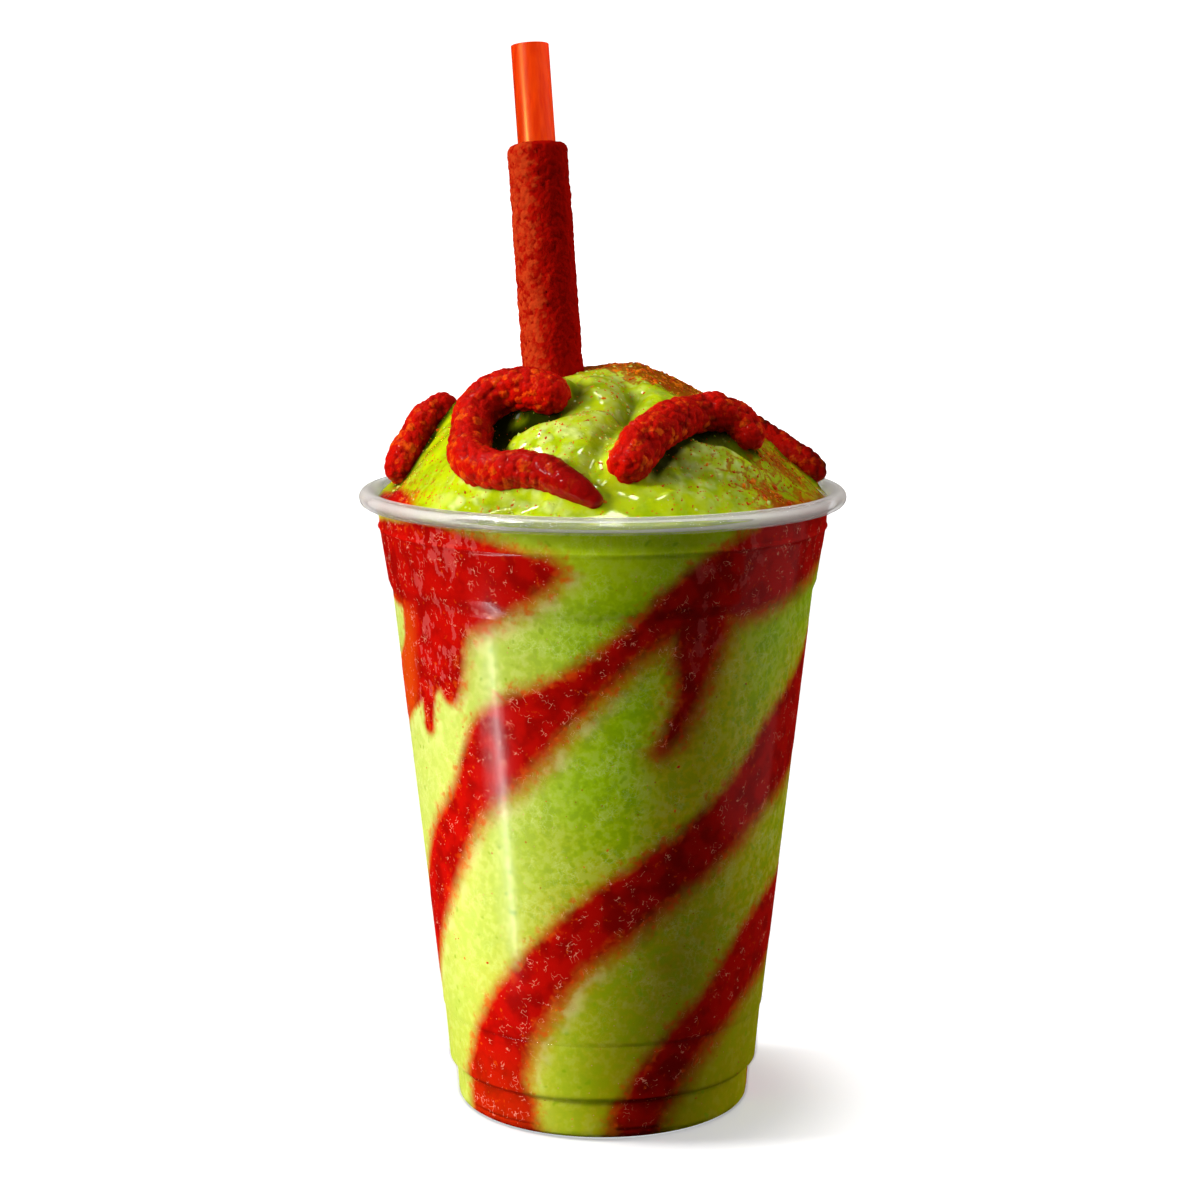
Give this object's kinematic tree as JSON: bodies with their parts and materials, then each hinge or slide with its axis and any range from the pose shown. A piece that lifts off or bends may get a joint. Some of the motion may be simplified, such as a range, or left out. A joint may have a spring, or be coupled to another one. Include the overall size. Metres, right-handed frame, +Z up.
{
  "type": "green apple smoothie",
  "caption": "Clear takeaway cup heaped with green slush, red sauce swirls down its wall, chilli gummy worms on top and a straw in a tamarind candy sleeve.",
  "frame": {"origin": "middle of the cup's foot, on the plane that the cup stands on", "axes": "+Z up along the cup's axis, -Y towards the side that faces the viewer, +X to the viewer's right"},
  "size_m": [0.098, 0.098, 0.2154],
  "materials": {
    "clear_plastic": "gloss",
    "green_slush": "satin",
    "red_sauce": "gloss",
    "chilli_gummy": "satin",
    "orange_plastic": "satin",
    "tamarind_candy": "matte"
  },
  "bodies": {
    "root": {"cup": "clear_plastic", "smoothie": "green_slush", "sauce_swirl_upper": "red_sauce", "sauce_swirl_middle": "red_sauce", "sauce_swirl_lower": "red_sauce", "sauce_swirl_left": "red_sauce", "worm_left": "chilli_gummy", "worm_curl": "chilli_gummy", "worm_arch": "chilli_gummy", "worm_right": "chilli_gummy", "straw": "orange_plastic", "tamarind_sleeve": "tamarind_candy"}
  },
  "joints": []
}
